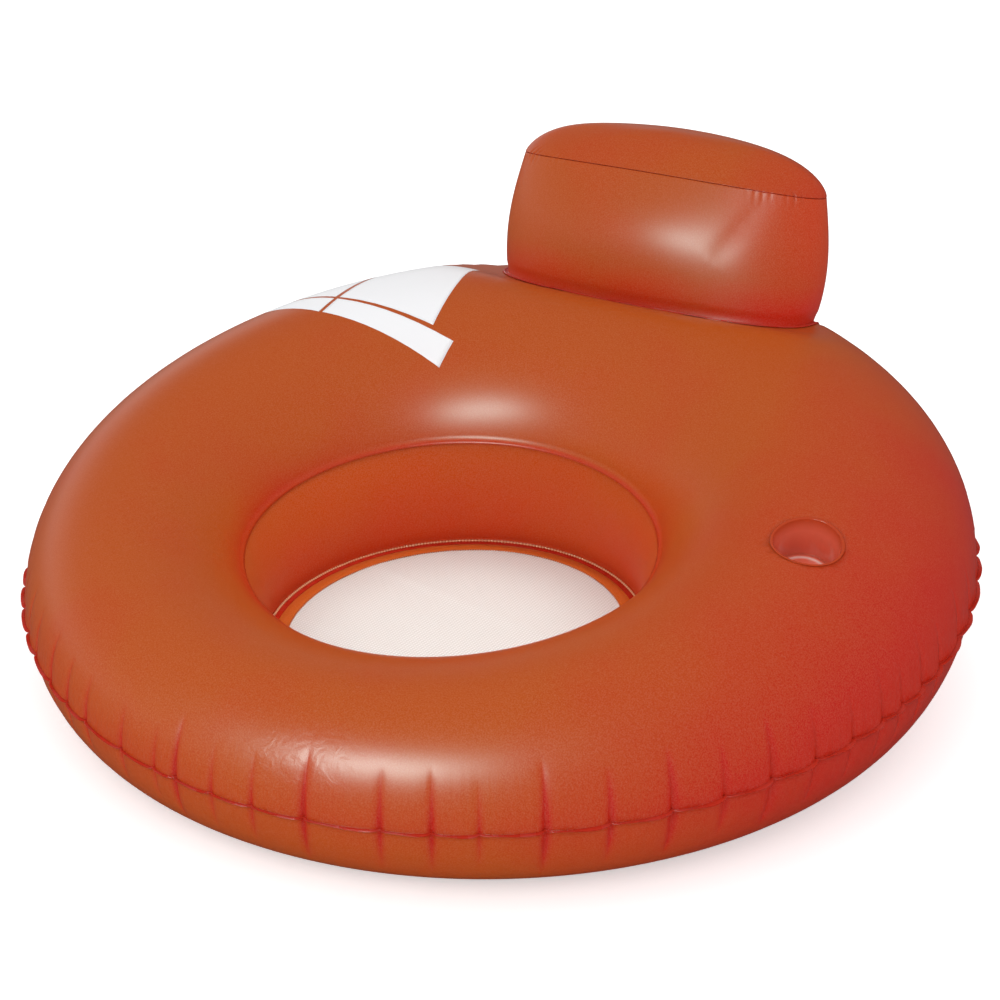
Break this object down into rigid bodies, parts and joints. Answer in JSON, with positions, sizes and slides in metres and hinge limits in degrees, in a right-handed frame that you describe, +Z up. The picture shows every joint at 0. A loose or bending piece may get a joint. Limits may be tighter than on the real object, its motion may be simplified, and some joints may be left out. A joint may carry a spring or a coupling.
{
  "type": "inflatable pool chair",
  "caption": "Inflatable ring lounge with a mesh seat in its hole, a welded air backrest, a cup holder in one arm and push-in air valves.",
  "frame": {"origin": "on the floor, under the middle of the round outer weld", "axes": "+Z up, +Y towards the backrest, the sitter faces -Y, the cup holder is at +X"},
  "size_m": [1.0498, 1.05, 0.5007],
  "materials": {
    "film": "frosted translucent orange vinyl film, welded",
    "border": "orange vinyl border film with a knurled weld",
    "cup": "glossy clear orange vinyl film",
    "net": "white coated mesh",
    "valve": "soft moulded orange vinyl"
  },
  "bodies": {
    "chair": {"ring_top_sheet": "film", "ring_bottom_sheet": "film", "ring_inner_wall": "film", "seat_border_upper": "border", "seat_border_lower": "border", "seat_mesh": "net", "backrest_wall": "film", "backrest_top_panel": "film", "cup_holder_wall": "cup", "cup_holder_floor": "cup", "ring_valve_disc": "film", "ring_valve_cone": "film", "backrest_valve_disc": "film", "backrest_valve_cone": "film"},
    "ring_stem": {"ring_valve_stem": "valve"},
    "ring_flap": {"ring_valve_flap": "valve"},
    "ring_plug": {"ring_valve_plug": "valve"},
    "backrest_stem": {"backrest_valve_stem": "valve"},
    "backrest_flap": {"backrest_valve_flap": "valve"},
    "backrest_plug": {"backrest_valve_plug": "valve"}
  },
  "joints": [
    {"name": "ring_valve_push", "type": "slide", "parent": "chair", "child": "ring_stem", "axis": [-0.333, 0.7129, 0.6171], "range_m": [-0.01, 0], "deforming": ["ring_valve_cone"]},
    {"name": "ring_valve_flap_swing", "type": "hinge", "parent": "ring_stem", "child": "ring_flap", "pos_m": [-0.21677, 0.44282, 0.25833], "axis": [0.2612, -0.5591, 0.7868], "range_deg": [0, 35], "stiffness_Nm_per_rad": 0.0002},
    {"name": "ring_valve_plug_pull", "type": "slide", "parent": "ring_stem", "child": "ring_plug", "axis": [-0.333, 0.7129, 0.6171], "range_m": [0, 0.0075]},
    {"name": "backrest_valve_push", "type": "slide", "parent": "chair", "child": "backrest_stem", "axis": [0.0246, 0.9933, -0.1129], "range_m": [-0.01, 0], "deforming": ["backrest_valve_cone"]},
    {"name": "backrest_valve_flap_swing", "type": "hinge", "parent": "backrest_stem", "child": "backrest_flap", "pos_m": [0.04966, 0.48552, 0.35298], "axis": [0.0028, 0.1129, 0.9936], "range_deg": [0, 35], "stiffness_Nm_per_rad": 0.0002},
    {"name": "backrest_valve_plug_pull", "type": "slide", "parent": "backrest_stem", "child": "backrest_plug", "axis": [0.0246, 0.9933, -0.1129], "range_m": [0, 0.0075]}
  ]
}
